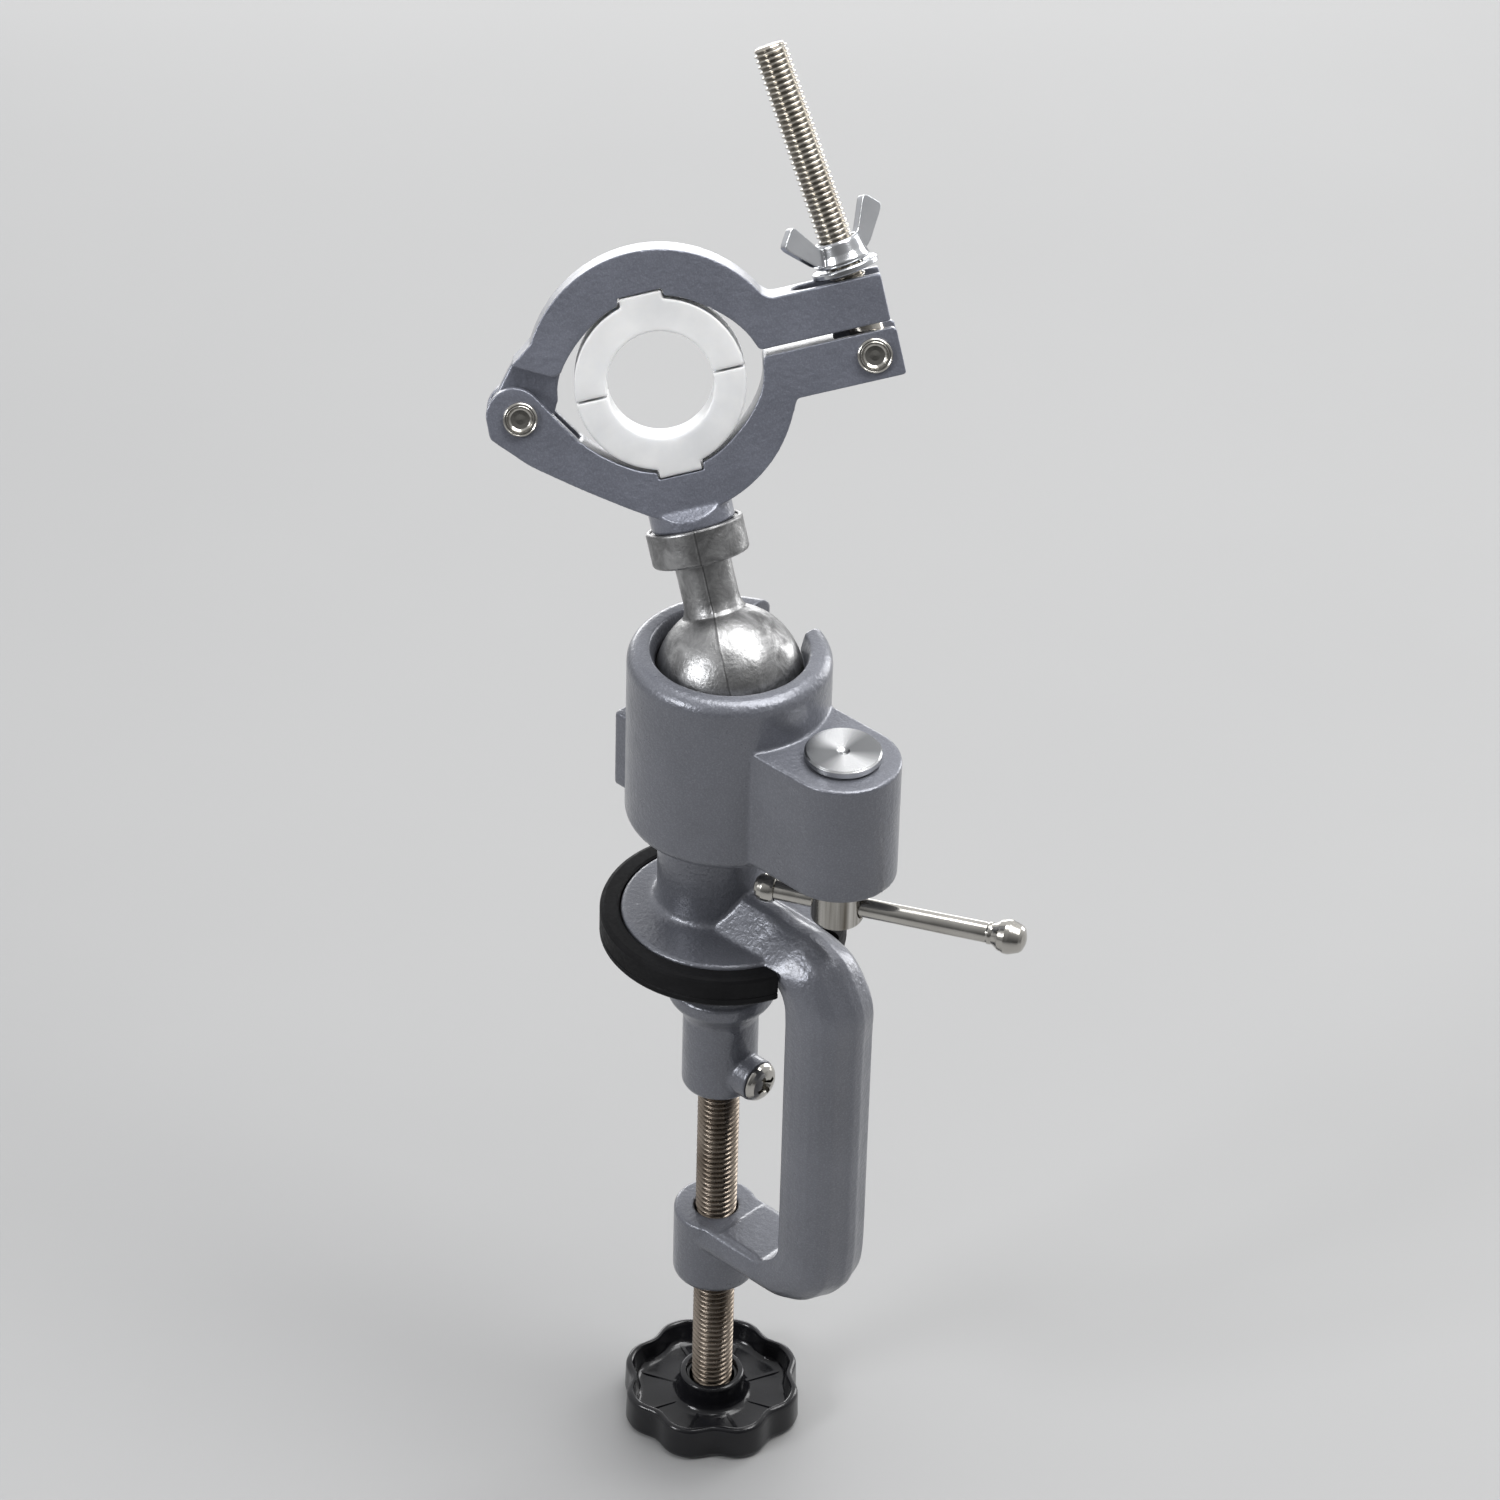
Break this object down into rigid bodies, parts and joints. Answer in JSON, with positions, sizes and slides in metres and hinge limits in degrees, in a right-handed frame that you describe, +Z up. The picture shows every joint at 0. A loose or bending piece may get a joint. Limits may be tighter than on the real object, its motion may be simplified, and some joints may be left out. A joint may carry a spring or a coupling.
{
  "type": "bench clamp drill holder",
  "caption": "C-clamp with a locking ball head carrying a hinged split ring with swing bolt, wing nut and plastic reducer sleeve.",
  "frame": {"origin": "on the clamp screw's axis, at the underside of the rubber table pad", "axes": "+Z up along the clamp screw, +X from the screw towards the spine of the C, casting symmetric about Y=0"},
  "size_m": [0.1371, 0.0883, 0.3527],
  "materials": {
    "casting_paint": "satin hammered enamel over die-cast alloy",
    "ring_paint": "satin textured enamel",
    "rubber": "matt black moulded rubber",
    "nickel": "bright nickel-plated steel",
    "dark_nickel": "nickel-plated steel, slightly toned",
    "zinc_plate": "bright zinc plate",
    "die_cast": "raw polished die-cast alloy",
    "brass_shoe": "plain brass",
    "nylon": "natural nylon",
    "knob_plastic": "gloss black moulded plastic",
    "sleeve_plastic": "translucent white moulded plastic"
  },
  "bodies": {
    "frame": {"c_frame_casting": "casting_paint", "table_pad": "rubber"},
    "foot": {"pressure_foot": "casting_paint", "foot_retaining_screw": "nickel"},
    "screw": {"clamp_screw": "dark_nickel", "hand_knob": "knob_plastic"},
    "seat": {"ball_seat": "nylon"},
    "stem": {"ball_stem": "die_cast"},
    "ring_base": {"lower_jaw": "ring_paint", "ring_fixing_screw": "nickel", "hinge_pin": "nickel", "bolt_pivot_pin": "nickel"},
    "ring_top": {"upper_jaw": "ring_paint"},
    "bolt": {"swing_bolt": "nickel"},
    "washer": {"nut_washer": "zinc_plate"},
    "nut": {"wing_nut": "zinc_plate"},
    "sleeve_low": {"sleeve_lower": "sleeve_plastic"},
    "sleeve_top": {"sleeve_upper": "sleeve_plastic"},
    "lock_nut_body": {"lock_nut": "nickel"},
    "lock_pin_body": {"lock_pin": "nickel"},
    "bar": {"t_bar": "nickel", "t_bar_end_cap": "nickel"},
    "brake": {"brake_plunger": "brass_shoe"}
  },
  "joints": [
    {"name": "foot_travel", "type": "slide", "parent": "frame", "child": "foot", "axis": [0, 0, 1], "range_m": [-0.034, 0.0132]},
    {"name": "screw_turn", "type": "hinge", "parent": "foot", "child": "screw", "pos_m": [0, 0, -0.08], "axis": [0, 0, 1], "range_deg": [-8180, 3188]},
    {"name": "ball_pan", "type": "hinge", "parent": "frame", "child": "seat", "pos_m": [0, 0, 0.073], "axis": [0, 0, 1], "continuous": true},
    {"name": "ball_tilt", "type": "hinge", "parent": "seat", "child": "stem", "pos_m": [0, 0, 0.073], "axis": [-0.2615, -0.9652, 0], "range_deg": [-71, 16.5]},
    {"name": "ring_swivel", "type": "hinge", "parent": "stem", "child": "ring_base", "pos_m": [-0.0308, 0.00834, 0.13474], "axis": [-0.4432, 0.12, 0.8884], "continuous": true},
    {"name": "jaw_open", "type": "hinge", "parent": "ring_base", "child": "ring_top", "pos_m": [-0.05105, -0.01557, 0.12731], "axis": [0.632, -0.661, 0.4046], "range_deg": [-0.05, 18.2]},
    {"name": "bolt_swing", "type": "hinge", "parent": "ring_base", "child": "bolt", "pos_m": [0.00168, 0.04346, 0.14136], "axis": [0.632, -0.661, 0.4046], "range_deg": [-58.5, 0.1]},
    {"name": "nut_travel", "type": "slide", "parent": "bolt", "child": "washer", "axis": [-0.5092, 0.0393, 0.8597], "range_m": [-0.0001, 0.0382]},
    {"name": "nut_turn", "type": "hinge", "parent": "washer", "child": "nut", "pos_m": [-0.00952, 0.04432, 0.16028], "axis": [-0.5092, 0.0393, 0.8597], "range_deg": [0, 10944]},
    {"name": "sleeve_slide", "type": "slide", "parent": "ring_base", "child": "sleeve_low", "axis": [0.632, -0.661, 0.4046], "range_m": [0, 0.016]},
    {"name": "sleeve_top_slide", "type": "slide", "parent": "ring_top", "child": "sleeve_top", "axis": [0.632, -0.661, 0.4046], "range_m": [-0.0001, 0.0161]},
    {"name": "lock_turn", "type": "hinge", "parent": "frame", "child": "lock_nut_body", "pos_m": [0.035, 0, 0.0274], "axis": [0, 0, 1], "range_deg": [-152, 10]},
    {"name": "lock_pin_lift", "type": "slide", "parent": "frame", "child": "lock_pin_body", "axis": [0, 0, 1], "range_m": [-0.000026, 0.00052]},
    {"name": "brake_push", "type": "slide", "parent": "frame", "child": "brake", "axis": [1, 0, 0], "range_m": [-0.0001, 0.0003]},
    {"name": "bar_slide", "type": "slide", "parent": "lock_nut_body", "child": "bar", "axis": [0.8988, 0.4384, 0], "range_m": [-0.009, 0.0042]}
  ],
  "couplings": [
    {"joint": "screw_turn", "follows": "foot_travel", "rad_per_m": 4188.8},
    {"joint": "nut_travel", "follows": "nut_turn", "m_per_rad": 0.00019894},
    {"joint": "bolt_swing", "follows": "nut_turn", "ratio": -0.0052997},
    {"joint": "jaw_open", "follows": "nut_turn", "ratio": 0.0016447},
    {"joint": "sleeve_top_slide", "follows": "sleeve_slide", "ratio": 1},
    {"joint": "lock_turn", "follows": "lock_pin_lift", "rad_per_m": -5026.5},
    {"joint": "brake_push", "follows": "lock_pin_lift", "ratio": 0.33333}
  ]
}
